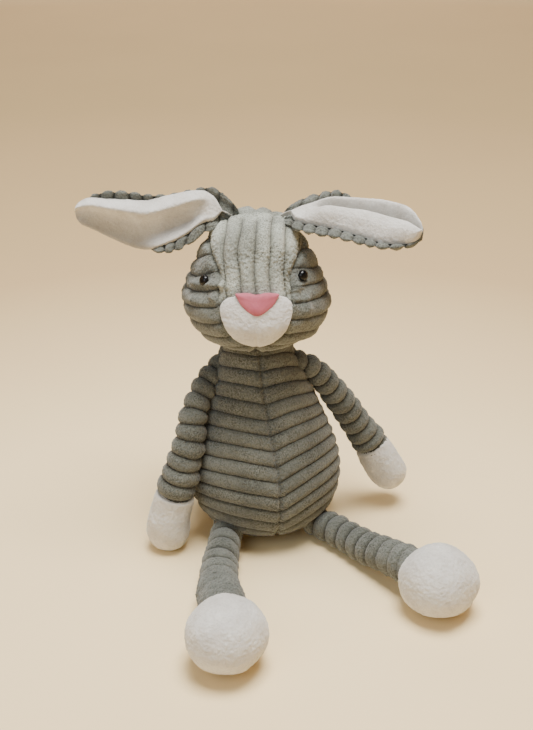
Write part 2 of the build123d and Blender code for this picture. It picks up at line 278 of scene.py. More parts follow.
def distance_along(line):
    """How far along a line of points each point is."""
    return np.concatenate([[0], np.cumsum(np.linalg.norm(np.diff(line, axis=0), axis=1))])


def points_at(line, along, wanted):
    """The points at the wanted distances along a line."""
    return np.stack([np.interp(wanted, along, line[:, k]) for k in range(line.shape[1])], 1)


def curve_through(stations, spacing):
    """Evenly spaced points on a smooth curve through the stations, and how far along each is."""
    points = np.array(stations, float)
    ends = np.vstack([2 * points[0] - points[1], points, 2 * points[-1] - points[-2]])
    dense = []
    for i in range(1, len(ends) - 2):
        t = np.linspace(0, 1, 60, endpoint=i == len(ends) - 3)[:, None]
        dense.append(spline(*ends[i - 1:i + 3], t))
    line = np.vstack(dense)
    along = distance_along(line)
    even = np.linspace(0, along[-1], max(8, int(along[-1] / spacing)))
    return points_at(line, along, even), even


def closed_curve(stations, count):
    """Evenly spaced points on a smooth closed curve through the stations."""
    ring = np.array(list(stations) + list(stations[:1]), float)
    ring = np.vstack([ring[-2], ring, ring[1]])
    t = np.linspace(0, 1, 40, endpoint=False)[:, None]
    dense = [spline(*ring[i - 1:i + 3], t) for i in range(1, len(ring) - 2)]
    line = np.vstack(dense + [dense[0][:1]])
    along = distance_along(line)
    return points_at(line, along, np.linspace(0, along[-1], count, endpoint=False))


# ---------------------------------------------------------------- grids of points

def full_turn(columns):
    """Angles all the way round."""
    return np.linspace(0, 2 * math.pi, columns, endpoint=False)


def turned(radius, height, angle, axis=(0, 0)):
    """A grid from a profile's radii and heights, turned about an axis that may shift with height."""
    return np.stack([
        axis[0] + radius[:, None] * np.sin(angle),
        axis[1] - radius[:, None] * np.cos(angle),
        height[:, None] * np.ones_like(angle),
    ], -1)


def tube(stations, columns, flat=1.0):
    """A grid round a curved path through (x, y, z, radius) stations, and the distance along it."""
    curve, along = curve_through(np.array(stations) * MM, SPACING)
    path, radius = curve[:, :3], np.maximum(curve[:, 3], 0.05 * MM)
    tangent = np.gradient(path, axis=0)
    tangent /= np.linalg.norm(tangent, axis=1, keepdims=True)
    steep = abs(tangent[0][2]) > 0.6
    level = np.array([0.0, 1.0, 0.0]) if steep else np.array([0.0, 0.0, 1.0])
    first = np.cross(tangent, level)
    first /= np.linalg.norm(first, axis=1, keepdims=True)
    second = np.cross(tangent, first)
    turn = full_turn(columns)[None, :, None]
    ring = np.cos(turn) * first[:, None, :] + flat * np.sin(turn) * second[:, None, :]
    return path[:, None, :] + radius[:, None, None] * ring, along


def normals_of(grid, closed=False):
    """Unit normals of a grid, from its rows and columns. A closed grid's columns go all the way round."""
    down = np.gradient(grid, axis=0)
    if closed:
        across = np.roll(grid, -1, axis=1) - np.roll(grid, 1, axis=1)
    else:
        across = np.gradient(grid, axis=1)
    normal = np.cross(across, down)
    return normal / np.maximum(np.linalg.norm(normal, axis=-1, keepdims=True), 1e-12)


def facing_out(grid):
    """The grid with its columns in the order that turns its normals outward."""
    middle_line = grid.mean(axis=1, keepdims=True)
    if np.mean(np.sum(normals_of(grid, True) * (grid - middle_line), -1)) < 0:
        return grid[:, ::-1]
    return grid


def ribs(position, width=WALE, power=0.4):
    """Height of a corduroy rib, 0 in the groove and 1 on its top, for a distance across the wales."""
    return np.abs(np.sin(np.pi * position / width)) ** power


def groove_depth(rib, steepness):
    """How deep in a groove each point is, 0 high on the ribs and 1 at the bottom, for painted shade."""
    return np.clip(1 - rib * steepness, 0, 1)


def with_pile(grid, height, amount=PILE, cell=1.1 * MM, seed=1, closed=False):
    """Raise a grid along its normals by height, with the uneven tips of the pile on top."""
    tufts = value_noise(grid, cell, seed) + 0.6 * value_noise(grid, cell * 0.5, seed + 7)
    return grid + normals_of(grid, closed) * (height + amount * tufts)[..., None]


# ---------------------------------------------------------------- pieces

def mesh_piece(name, points, faces, painted_shade, painted_light, material):
    """A smooth-shaded object. Fabric colours use the painted shade and painted light of each vertex."""
    mesh = bpy.data.meshes.new(name)
    mesh.vertices.add(len(points))
    mesh.vertices.foreach_set("co", points.astype(np.float32).ravel())
    mesh.loops.add(faces.size)
    mesh.loops.foreach_set("vertex_index", faces.astype(np.int32).ravel())
    mesh.polygons.add(len(faces))
    mesh.polygons.foreach_set("loop_start", np.arange(0, faces.size, 4, dtype=np.int32))
    mesh.polygons.foreach_set("use_smooth", np.ones(len(faces), bool))
    mesh.update(calc_edges=True)
    for label, values in (("painted_shade", painted_shade), ("painted_light", painted_light)):
        layer = mesh.attributes.new(label, "FLOAT", "POINT")
        layer.data.foreach_set("value", values.astype(np.float32))
    mesh.materials.append(material)
    piece = bpy.data.objects.new(name, mesh)
    bpy.context.scene.collection.objects.link(piece)
    return piece


def grid_piece(name, grid, material, painted_shade=None, keep=None, closed=False, painted_light=None):
    """A piece from a grid. keep says which cells to use; closed joins the last column to the first."""
    rows, columns = grid.shape[:2]
    plain = np.zeros((rows, columns))
    painted_shade = plain if painted_shade is None else painted_shade
    painted_light = plain if painted_light is None else painted_light
    index = np.arange(rows * columns).reshape(rows, columns)
    if closed:
        index = np.concatenate([index, index[:, :1]], 1)
    cells = np.stack([index[:-1, :-1], index[:-1, 1:], index[1:, 1:], index[1:, :-1]], -1)
    if keep is not None:
        cells = cells[keep[: cells.shape[0], : cells.shape[1]]]
    used, faces = np.unique(cells.reshape(-1, 4), return_inverse=True)
    points, faces = grid.reshape(-1, 3)[used], faces.reshape(-1, 4)
    return mesh_piece(name, points, faces, painted_shade.ravel()[used], painted_light.ravel()[used], material)


def declare(piece, node, body=None):
    """Hide the CAD node that a piece stands for, and attach the piece to the body that carries it, if one is
    given.
    """
    if body is not None:
        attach(piece, body)
    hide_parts(node)


def fill_piece(node, grid, inset, body, seed):
    """The lumpy fibre inside a cover: a coarser copy of a closed surface, further in by inset."""
    coarse = grid[::FIBRE_STEP, ::FIBRE_STEP]
    lumps = FIBRE_LUMP * value_noise(coarse, 7 * MM, seed) - inset
    surface = coarse + normals_of(coarse, True) * lumps[..., None]
    first_end = surface[:1].mean(axis=1, keepdims=True) + 0 * surface[:1]
    last_end = surface[-1:].mean(axis=1, keepdims=True) + 0 * surface[-1:]
    surface = np.concatenate([first_end, surface, last_end])
    piece = grid_piece(f"{node}_fibre", surface, FIBRE, closed=True)
    declare(piece, node, body)


# ---------------------------------------------------------------- materials

def grey(level):
    """A colour without a tint."""
    return (level, level, level)


def new_material(name, roughness):
    """A material with a principled shader. Returns it, its node tree and the shader."""
    material = bpy.data.materials.new(name)
    material.use_nodes = True
    tree = material.node_tree
    shader = tree.nodes["Principled BSDF"]
    shader.inputs["Roughness"].default_value = roughness
    return material, tree, shader


def object_place(tree):
    """The object's own coordinates, from one node that all of a material's textures share."""
    where = tree.nodes.get("Where") or tree.nodes.new("ShaderNodeTexCoord")
    where.name = "Where"
    return where.outputs["Object"]


def noise(tree, scale, detail=3.0, rough=0.6):
    """A noise texture in the object's own coordinates. Returns its factor output."""
    texture = tree.nodes.new("ShaderNodeTexNoise")
    texture.inputs["Scale"].default_value = scale
    texture.inputs["Detail"].default_value = detail
    texture.inputs["Roughness"].default_value = rough
    tree.links.new(object_place(tree), texture.inputs["Vector"])
    return texture.outputs["Fac"]


def painted(tree, name):
    """The value that a piece's vertices hold under this name."""
    node = tree.nodes.new("ShaderNodeAttribute")
    node.attribute_name = name
    return node.outputs["Fac"]


def ramp(tree, factor, *stops):
    """A colour ramp through (place, colour) stops."""
    node = tree.nodes.new("ShaderNodeValToRGB")
    elements = node.color_ramp.elements
    while len(elements) < len(stops):
        elements.new(0.5)
    for element, (where, colour) in zip(elements, stops):
        element.position = where
        element.color = (*colour, 1)
    tree.links.new(factor, node.inputs["Fac"])
    return node.outputs["Color"]


def multiply(tree, first, second, factor=1.0):
    """Multiply two colours. second may be a colour or an output, and factor a number or an output."""
    node = tree.nodes.new("ShaderNodeMix")
    node.data_type = "RGBA"
    node.blend_type = "MULTIPLY"
    for slot, value in ((node.inputs["Factor"], factor), (node.inputs[6], first), (node.inputs[7], second)):
        if isinstance(value, bpy.types.NodeSocket):
            tree.links.new(value, slot)
        elif isinstance(value, tuple):
            slot.default_value = (*value, 1)
        else:
            slot.default_value = value
    return node.outputs[2]


def relief(tree, shader, *layers):
    """Bump the shader with (height, strength, distance) layers, one on another."""
    normal = None
    for height, strength, distance in layers:
        node = tree.nodes.new("ShaderNodeBump")
        node.inputs["Strength"].default_value = strength
        node.inputs["Distance"].default_value = distance
        tree.links.new(height, node.inputs["Height"])
        if normal is not None:
            tree.links.new(normal, node.inputs["Normal"])
        normal = node.outputs["Normal"]
    tree.links.new(normal, shader.inputs["Normal"])


def mottled(name, roughness, grain, dark, light):
    """A material that varies between two colours. grain is the noise's scale, detail and roughness."""
    material, tree, shader = new_material(name, roughness)
    tone = ramp(tree, noise(tree, *grain), (0.3, dark), (0.7, light))
    tree.links.new(tone, shader.inputs["Base Color"])
    return material, tree, shader


def corduroy():
    """Grey-taupe pile: painted shade in grooves and seams, lighter and darker patches, painted sheen and top
    light, fine tufts.
    """
    material, tree, shader = new_material("grey_corduroy", 0.95)
    patches = ramp(tree, noise(tree, 55), (0.3, (0.160, 0.167, 0.142)), (0.7, (0.246, 0.256, 0.221)))
    speckle = ramp(tree, noise(tree, 1050, 3, 0.75), (0.36, (0.36, 0.355, 0.34)), (0.58, grey(1.25)))
    combed = ramp(tree, noise(tree, 70, 2), (0.4, grey(0.5)), (0.6, grey(1.0)))
    depth = painted(tree, "painted_shade")
    # Painted shade: darker towards the bottom of the grooves and along the seams.
    groove_shade = ramp(tree, depth, (0.0, grey(1.0)), (0.4, (0.7, 0.69, 0.66)), (1.0, (0.09, 0.08, 0.065)))
    # Painted sheen and top light on the head's pile.
    lighter = ramp(tree, painted(tree, "painted_light"), (0.0, grey(0.5)), (1.0, grey(1.4)))
    colour = multiply(tree, patches, speckle, combed)
    for layer in (groove_shade, lighter, grey(1.25)):
        colour = multiply(tree, colour, layer)
    tree.links.new(colour, shader.inputs["Base Color"])
    shader.inputs["Sheen Weight"].default_value = 0.25
    shader.inputs["Sheen Roughness"].default_value = 0.55
    shader.inputs["Specular IOR Level"].default_value = 0.15
    relief(tree, shader, (noise(tree, 520), 0.7, 0.9 * MM), (noise(tree, 1500, 2), 0.6, 0.4 * MM))
    return material


def fleece():
    """Short white fleece: soft clumps, a faint warm tint, and painted shade in the creases of the ear
    linings.
    """
    material, tree, shader = new_material("white_fleece", 0.95)
    soft = ramp(tree, noise(tree, 90, 4), (0.3, (0.555, 0.525, 0.48)), (0.65, (0.68, 0.66, 0.615)))
    clumps = ramp(tree, noise(tree, 800, 3, 0.7), (0.3, (0.80, 0.79, 0.77)), (0.6, grey(1.0)))
    # Painted shade in the creases of the ear linings.
    crease_shade = ramp(tree, painted(tree, "painted_shade"), (0.0, grey(1.0)), (1.0, grey(0.46)))
    colour = multiply(tree, multiply(tree, soft, clumps, 0.6), crease_shade)
    tree.links.new(colour, shader.inputs["Base Color"])
    shader.inputs["Sheen Weight"].default_value = 0.4
    shader.inputs["Sheen Roughness"].default_value = 0.5
    shader.inputs["Specular IOR Level"].default_value = 0.15
    relief(tree, shader, (noise(tree, 420, 4), 0.6, 0.9 * MM), (noise(tree, 1300), 0.65, 0.4 * MM))
    return material


def satin():
    """Pink satin of the nose: a fine weave and a soft gloss."""
    material, tree, shader = new_material("pink_satin", 0.65)
    tint = ramp(tree, noise(tree, 160), (0.3, (0.43, 0.085, 0.125)), (0.7, (0.54, 0.128, 0.18)))
    weave = tree.nodes.new("ShaderNodeTexWave")
    weave.inputs["Scale"].default_value = 1100
    weave.inputs["Distortion"].default_value = 2.0
    weave.inputs["Detail"].default_value = 2.0
    tree.links.new(object_place(tree), weave.inputs["Vector"])
    fine = ramp(tree, weave.outputs["Fac"], (0.0, grey(0.86)), (1.0, grey(1.0)))
    tree.links.new(multiply(tree, tint, fine), shader.inputs["Base Color"])
    shader.inputs["Sheen Weight"].default_value = 0.3
    relief(tree, shader, (weave.outputs["Fac"], 0.25, 0.15 * MM), (noise(tree, 300), 0.2, 0.4 * MM))
    return material


def bead():
    """Glossy black plastic with the faint unevenness of moulding."""
    material, tree, shader = mottled(
        "black_bead", 0.22, (200, 2), (0.002, 0.002, 0.0025), (0.005, 0.0045, 0.0045))
    shader.inputs["Specular IOR Level"].default_value = 0.3
    relief(tree, shader, (noise(tree, 260, 2), 0.04, 0.1 * MM))
    return material


def plastic():
    """Matte white plastic of the washers."""
    material, tree, shader = mottled("white_plastic", 0.55, (300,), (0.70, 0.70, 0.68), (0.78, 0.78, 0.76))
    relief(tree, shader, (noise(tree, 900), 0.2, 0.1 * MM))
    return material


def fibre():
    """Loose polyester fibre."""
    material, tree, shader = mottled(
        "polyester_fill", 0.9, (240, 6, 0.75), (0.66, 0.66, 0.65), (0.88, 0.88, 0.87))
    shader.inputs["Sheen Weight"].default_value = 0.4
    relief(tree, shader, (noise(tree, 500, 8, 0.8), 0.9, 1.5 * MM))
    return material


def bag_cloth():
    """Plain woven cotton of the pellet bag."""
    material, tree, shader = mottled("pellet_bag", 0.9, (700,), (0.52, 0.50, 0.46), (0.66, 0.64, 0.60))
    relief(tree, shader, (noise(tree, 350, 2), 0.8, 1.2 * MM), (noise(tree, 1600, 2), 0.5, 0.2 * MM))
    return material


CORD = corduroy()
FLEECE = fleece()
SATIN = satin()
BEAD = bead()
PLASTIC = plastic()
FIBRE = fibre()
BAG = bag_cloth()


# ---------------------------------------------------------------- torso

def torso_profile(inset, spacing):
    """Radius, height and distance along the torso's side, from the seat to inside the head."""
    stations = [(radius * MM - inset, max(height * MM, inset)) for radius, height in TORSO_STATIONS]
    neck_radius, neck_height = stations[-1]
    for angle in NECK_DOME:
        turn = math.radians(angle)
        stations.append((neck_radius * math.cos(turn), neck_height + neck_radius * math.sin(turn)))
    points, along = curve_through(stations, spacing)
    return points[:, 0], points[:, 1], along


def lean(height):
    """How far the torso's middle stands to one side at a height, as a column."""
    return (NECK_LEAN * (height / NECK_HEIGHT) ** 2)[:, None]


def seam_angle(height):
    """Angle of the front seam about Z, from straight ahead towards the toy's left, in radians."""
    return np.radians(13.0 - 7.0 * smooth(height, 50 * MM, 130 * MM))


def make_panel(end, side, radius, height, along):
    """A panel of the torso's side, from the front or back seam round to the side seam."""
    node = f"torso_{end}_{side}"
    outward = 1 if node in ("torso_front_left", "torso_back_right") else -1
    away = np.linspace(0, 1, PANEL_COLUMNS)[None, :] * math.pi / 2
    seam = seam_angle(height)[:, None] + (0 if end == "front" else math.pi)
    grid = turned(radius, height, seam + outward * away, (lean(height), 0))
    from_seam = radius[:, None] * away
    to_side = radius[:, None] * (math.pi / 2 - away)
    low_rise, high_rise, fall = CHEVRON[side]
    rise_rate = np.interp(height, (CHEVRON_LOW, CHEVRON_HIGH), (low_rise, high_rise))[:, None]
    climb = radius[:, None] * (rise_rate * away - fall * away**2)
    wander = 0.7 * MM * value_noise(grid, 22 * MM, 3)
    rib = ribs(along[:, None] - climb + wander - FIRST_GROOVE)
    open_seams = (1 - 0.6 * bump(from_seam, 1.4 * MM)) * (1 - 0.7 * bump(to_side, 2.0 * MM))
    rise = RIB * rib * open_seams + 0.8 * MM * value_noise(grid, 30 * MM, 5)
    rise = rise - 0.5 * MM * bump(from_seam, 1.5 * MM) - 0.8 * MM * bump(to_side, 2.2 * MM)
    rise = rise * (1 - 0.75 * smooth(height, 131 * MM, 140 * MM))[:, None]
    if outward < 0:
        grid, rise, rib, from_seam = grid[:, ::-1], rise[:, ::-1], rib[:, ::-1], from_seam[:, ::-1]
    surface = with_pile(grid, rise, PILE * (1 + 1.9 * bump(from_seam, 3.0 * MM)), seed=2)
    surface[..., 2] = np.maximum(surface[..., 2], CORD_GAP)
    # Painted shade in the grooves, a little more along the front or back seam.
    painted_shade = groove_depth(rib, 1.15) + 0.08 * bump(from_seam, 0.8 * MM)
    piece = grid_piece(f"{node}_cord", surface, CORD, painted_shade)
    declare(piece, node, "torso")


def make_torso():
    """Four panels of corduroy round a pear, with wales that meet in a chevron at the front and back seams."""
    radius, height, along = torso_profile(SKIN, SPACING)
    above = height > SEAT_SEAM
    for side in ("left", "right"):
        for end in ("front", "back"):
            make_panel(end, side, radius[above], height[above], along[above])


def make_seat():
    """The round seat panel, flat where the toy rests."""
    radius, height, _ = torso_profile(SKIN, SEAT_SPACING)
    below = height <= SEAT_SEAM + SEAT_SPACING
    flat_radius = np.linspace(0.5 * MM, radius[0], SEAT_ROWS)[:-1]
    radius = np.concatenate([flat_radius, radius[below]])
    height = np.concatenate([np.full(len(flat_radius), height[0]), height[below]])
    grid = turned(radius, height, math.pi / 2 - full_turn(SEAT_COLUMNS))
    rib = ribs(grid[..., 0] + 0.5 * WALE)
    surface = with_pile(grid, 0.5 * RIB * (rib - 1), seed=4)[:, ::-1]
    surface[..., 2] = np.maximum(surface[..., 2], CORD_GAP)
    # Painted shade in the grooves.
    piece = grid_piece("torso_seat_cord", surface, CORD, groove_depth(rib, 1.3)[:, ::-1], closed=True)
    declare(piece, "torso_seat_panel", "torso")


def fill_torso():
    """The fibre of the torso."""
    radius, height, _ = torso_profile(TORSO_FIBRE, TORSO_FIBRE_SPACING)
    grid = turned(radius, height, full_turn(TORSO_FIBRE_COLUMNS), (lean(height), 0))
    fill_piece("torso_stuffing", grid, 0.0, "torso", 11)


make_torso()
make_seat()
fill_torso()


# ---------------------------------------------------------------- head

def head_profile():
    """Radius, height and distance up the head's side, from the neck to the crown."""
    points, along = curve_through(np.array(HEAD_STATIONS) * MM, SPACING)
    return np.maximum(points[:, 0], 0), points[:, 1], along


HEAD_RADIUS, HEAD_HEIGHT, HEAD_ALONG = head_profile()


def face_point(lateral, height):
    """Points on the front of the smooth head, for a sideways distance from its middle and a height."""
    radius = np.interp(height, HEAD_HEIGHT, HEAD_RADIUS)
    depth = np.sqrt(np.maximum(radius**2 - lateral**2, (0.2 * radius) ** 2))
    return np.stack([HEAD_MIDDLE[0] + lateral, HEAD_MIDDLE[1] - depth, height], -1)


def fold(grid, start, end, width):
    """1 along the line from start to end, fading over width: the place of a fold, in millimetres."""
    start, end = np.array(start) * MM, np.array(end) * MM
    along = np.clip(((grid - start) @ (end - start)) / ((end - start) @ (end - start)), 0, 1)
    nearest = start + along[..., None] * (end - start)
    return bump(np.linalg.norm(grid - nearest, axis=-1), width * MM)


def head_seam_distance(lateral, back, tall, half, in_gusset):
    """How far each point of the head is from the nearest seam. back is the distance behind the ear seam."""
    front = back < 0
    edge = np.where(front & (tall > GUSSET_FOOT - 3 * MM), np.abs(np.abs(lateral) - half), FAR)
    foot = np.where(front & (np.abs(lateral) < half), np.abs(tall - GUSSET_FOOT), FAR)
    centre = np.where(in_gusset, FAR, np.abs(lateral))
    return np.minimum(np.minimum(edge, foot), np.minimum(centre, np.abs(back)))


def make_head():
    """Ribs run down the gusset of the face and level round the cheeks and the back of the head."""
    angle = np.linspace(-math.pi, math.pi, HEAD_COLUMNS, endpoint=False)
    radius = np.maximum(HEAD_RADIUS - SKIN, 0.05 * MM)
    height, along = HEAD_HEIGHT, HEAD_ALONG
    grid = turned(radius, height, angle, HEAD_MIDDLE)
    lateral = grid[..., 0] - HEAD_MIDDLE[0]
    back = grid[..., 1] - HEAD_MIDDLE[1] - EAR_SEAM
    front = back < 0
    tall = grid[..., 2]
    wander = 1.2 * MM * value_noise(grid, 16 * MM, 21)
    half = GUSSET_HALF * (1 + 0.4 * smooth(tall, 190 * MM, 206 * MM))
    in_gusset = front & (np.abs(lateral) < half) & (tall > GUSSET_FOOT)

    bow = 2.0 * MM * np.sin((tall - 180 * MM) / (13 * MM)) * smooth(tall, 180 * MM, 186 * MM)
    down_face = ribs(lateral - 1.0 * MM + bow + wander, FACE_WALE)
    aside = radius[:, None] * np.abs(angle)
    climb = np.where(angle < 0, 0.28, 0.17) + 0.14 * smooth(height, 165 * MM, 190 * MM)[:, None]
    round_head = ribs(along[:, None] - 8 * MM + climb * np.minimum(aside, 80 * MM) + wander, CHEEK_WALE)
    rib = np.where(in_gusset, down_face, round_head)

    seam = head_seam_distance(lateral, back, tall, half, in_gusset)
    muzzle = ((lateral - 0.3 * MM) / (21.0 * MM)) ** 2 + ((tall - 167.5 * MM) / (16.5 * MM)) ** 2
    under_muzzle = np.where(front, 1 - smooth(muzzle, 0.75, 1.1), 0)
    rise = HEAD_RIB * (rib - 0.3) * (1 - 0.85 * bump(seam, 2.0 * MM)) * (1 - under_muzzle)
    rise = rise - 0.9 * MM * bump(seam, 2.4 * MM) + 0.9 * MM * value_noise(grid, 26 * MM, 23)
    rise = rise + 1.0 * MM * value_noise(grid, 11 * MM, 25) * np.where(in_gusset, 0.3, 1.0)
    rise = rise - 1.2 * MM * under_muzzle
    near_eye = sum(
        bump(np.linalg.norm(grid - middle(eye), axis=-1), 5.5 * MM) for eye in ("eye_left", "eye_right"))
    rise = rise * (1 - 0.8 * np.clip(near_eye, 0, 1)) - 1.0 * MM * near_eye
    for start, end, width, lift in EYE_FOLDS:
        rise = rise + lift * MM * fold(grid, start, end, width)
    crown = smooth(height, 218.6 * MM, 219.9 * MM)[:, None]
    rise = rise * (1 - crown) + 0.8 * MM * crown

    brow = in_gusset * bump(tall - 200 * MM, 7 * MM) * smooth(value_noise(grid, 9 * MM, 26), -0.6, 0.2)
    curly = np.clip(bump(seam, 4.5 * MM) + brow, 0, 1)
    surface = with_pile(grid, rise, PILE * (1 + 1.3 * curly), seed=22, closed=True)
    # Painted shade in the grooves and along the seams, none on the crown.
    painted_shade = (groove_depth(rib, 1.05) + 0.4 * bump(seam, 0.8 * MM)) * (1 - crown)
    # Painted sheen and top light: the gusset's pile lighter in patches, and the whole head lighter towards
    # the crown.
    painted_light = in_gusset * (0.55 + 0.45 * smooth(value_noise(grid, 13 * MM, 27), -0.3, 0.5))
    painted_light = np.maximum(painted_light, 0.1 + 0.5 * smooth(tall, 192 * MM, 214 * MM))
    off_neck = np.linalg.norm(surface - place("neck_nod"), axis=-1) > NECK_HOLE
    masks = {
        "head_gusset": in_gusset,
        "cheek_left": front & ~in_gusset & (lateral >= 0),
        "cheek_right": front & ~in_gusset & (lateral < 0),
        "head_back_left": ~front & (lateral >= 0),
        "head_back_right": ~front & (lateral < 0),
    }
    for node, mask in masks.items():
        piece = grid_piece(
            f"{node}_cord", surface, CORD, painted_shade, keep=mask & off_neck, closed=True, painted_light=painted_light)
        declare(piece, node, "head")
    fill_head(grid[height > HEAD_FIBRE_FOOT], angle)


def fill_head(outer, angle):
    """The fibre of the head, with a domed hollow round the neck."""
    neck = place("neck_nod")
    tilt = np.linspace(*HOLLOW_TILT, 40)
    hollow = turned(NECK_HOLE * np.sin(tilt), neck[2] + NECK_HOLE * np.cos(tilt), angle, neck)
    fill_piece("head_stuffing", np.concatenate([hollow, outer]), SOFT_FIBRE, "head", 24)


def face_patch(outline, start, rows, columns):
    """A grid on the smooth face from a patch's middle out to its outline, and how far out each point is."""
    edge = closed_curve(outline, columns) * MM
    start = np.array(start) * MM
    out = np.linspace(0.01, 1, rows)[:, None]
    lateral = start[0] + out * (edge[:, 0] - start[0])
    height = start[1] + out * (edge[:, 1] - start[1])
    return face_point(lateral, height), out * np.ones(columns)


def make_muzzle():
    """The fleece muzzle: a puffed round patch with a faint seam down its middle."""
    grid, out = face_patch(MUZZLE_OUTLINE, MUZZLE_CENTRE, rows=110, columns=420)
    lateral = grid[..., 0] - HEAD_MIDDLE[0]
    puff = 3.2 * MM * np.sqrt(np.maximum(1 - out**3.2, 0)) - 1.6 * MM * smooth(out, 0.93, 1.0)
    soft = 0.7 * MM * value_noise(grid, 9 * MM, 31) * (1 - out**4)
    line = -0.35 * MM * bump(lateral - 0.9 * MM, 0.9 * MM) * smooth(-grid[..., 2], -174 * MM, -166 * MM)
    surface = with_pile(grid, puff + soft + line, 0.22 * MM, 1.5 * MM, 32, closed=True)
    piece = grid_piece("muzzle_fleece", surface, FLEECE, closed=True)
    declare(piece, "muzzle", "head")


def make_nose():
    """The padded satin nose, with two soft bumps along its top edge."""
    grid, out = face_patch(NOSE_OUTLINE, NOSE_CENTRE, rows=60, columns=260)
    dome = 2.9 * MM * np.sqrt(np.maximum(1 - out**2.6, 0))
    puff = 2.2 * MM + dome - 1.6 * MM * smooth(out, 0.94, 1.0)
    soft = 0.35 * MM * value_noise(grid, 5 * MM, 34) * (1 - out**4)
    surface = with_pile(grid, puff + soft, 0.03 * MM, 0.9 * MM, 35, closed=True)
    piece = grid_piece("nose_satin", surface, SATIN, closed=True)
    declare(piece, "nose", "head")


make_head()
make_muzzle()
make_nose()


# ---------------------------------------------------------------- ears

def left_crest(across, distance):
    """A valley a third of the way down, and below it a swell that falls back at the lower edge."""
    valley = -10.0 * bump(across - 0.41, 0.27)
    return 3.5 + valley + 3.0 * bump(across + 0.2, 0.5) - 3.0 * smooth(-across, 0.5, 1.0)


def right_crest(across, distance):
    """A ridge near the top, a face that falls back below it, and near the head a lower flap that turns up."""
    ridge = 6.0 * bump(across - 0.45, 0.28)
    fall = -7.5 * smooth(-across, -0.35, 0.9)
    near_head = 1 - smooth(distance, 30 * MM, 52 * MM)
    return ridge + fall + 8.0 * smooth(-across, 0.35, 1.0) * near_head


def make_ear(side, along, face, stations, crest, lining_start, seed):
    """A flat ear: a fleece lining in front, and corduroy behind it that curls past the lining's edges.

    crest gives the lining's height towards the viewer, in millimetres, for a place across it from 1 at
    the top edge to -1 at the bottom, and a distance from the root. lining_start is in millimetres."""
    root = place(f"ear_{side}_flap")
    along, face = unit(along), unit(face)
    up = unit(np.cross(face, along))
    if up[2] < 0:
        up = -up
    curve, _ = curve_through(np.array(stations) * MM, EAR_SPACING)
    distance, top, bottom, above, below = curve.T[:, :, None]
    half = np.maximum((top - bottom) / 2, 0.05 * MM)
    centre = (top + bottom) / 2
    full = smooth(distance, 4 * MM, 20 * MM)
    end = 1 - 0.6 * smooth(distance, 70 * MM, 86 * MM)
    sink = 0.03 * np.minimum(distance / MM, 0) ** 2 * MM

    def surface_at(across, height):
        level = root + distance[..., None] * along - sink[..., None] * np.array([0, 0, 1])
        return level + across[..., None] * up + height[..., None] * face

    def crest_at(across):
        return crest(across, distance) * MM * full * end

    def sew(piece, node):
        declare(piece, node)
        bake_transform(piece)

    over = np.linspace(-1, 1, LINING_COLUMNS)[None, :] * np.ones((len(distance), 1))
    begins = np.sqrt(smooth(distance, lining_start * MM, (lining_start + 6) * MM))
    tuck = 3.2 * MM * np.abs(over) ** 14
    base = surface_at(centre + over * (half * begins), crest_at(over) - tuck + 1.6 * MM)
    soft = 0.5 * MM * value_noise(base, 12 * MM, seed)
    # Painted shade on the lining: darker where it lies low, in its valleys and below its ridge.
    shade = np.clip(0.085 * (1.5 - crest(over, distance)), 0, 1) * full * begins
    if np.mean(normals_of(base) @ face) < 0:
        base, soft, shade = base[:, ::-1], soft[:, ::-1], shade[:, ::-1]
    lining = with_pile(base, soft, 0.12 * MM, 1.3 * MM, seed + 1)
    soft_side = grid_piece(f"ear_lining_{side}_fleece", lining, FLEECE, shade)
    sew(soft_side, f"ear_lining_{side}")

    turn = full_turn(EAR_COLUMNS)
    reach = np.maximum(np.where(np.cos(turn) > 0, above, below), -0.8 * half)
    aside = (half + reach) * np.sign(np.cos(turn)) * np.abs(np.cos(turn)) ** 0.8
    depth = np.where(np.sin(turn) > 0, 0.4 * MM, -3.4 * MM) * np.abs(np.sin(turn)) ** 0.8
    thick = depth * np.clip(half / (6 * MM), 0, 1)
    curl = 2.2 * MM * smooth(np.abs(aside) - half, 0, 3 * MM)
    behind = crest_at(np.clip(aside / half, -1, 1)) - 2.4 * MM + curl + thick
    shell = surface_at(centre + aside, behind)
    rib = ribs(distance + 2.6 * MM * value_noise(shell, 16 * MM, seed + 3) + 0.12 * aside, EAR_WALE, 0.6)
    away = shell - surface_at(centre * np.ones_like(turn), behind * 0)
    if np.mean(np.sum(normals_of(shell, True) * away, -1)) < 0:
        shell, rib = shell[:, ::-1], rib[:, ::-1]
    # These columns lie flat. They are under the left ear's lining, but on the right ear, whose columns
    # have been turned round above, they are on its back.
    pressed = (np.sin(turn) > 0) & (np.abs(aside) < half - 0.5 * MM)
    taper = smooth(distance, -4 * MM, 4 * MM)
    rise = EAR_RIB * (rib - 0.5) * taper * np.clip(half / (4 * MM), 0, 1)
    shell = with_pile(shell, np.where(pressed, -1.0 * MM, rise), seed=seed + 4, closed=True)
    # Painted shade in the grooves between the ribs.
    cord = grid_piece(f"ear_back_{side}_cord", shell, CORD, groove_depth(rib, 1.25), closed=True)
    sew(cord, f"ear_back_{side}")


make_ear("left", (0.86, -0.5, 0.03), (0.0, -0.5, 0.86), LEFT_EAR, left_crest, -4, 41)
make_ear("right", (-1.0, 0.0, 0.03), (0.0, -0.9, 0.42), RIGHT_EAR, right_crest, -1, 51)


# ---------------------------------------------------------------- arms and legs

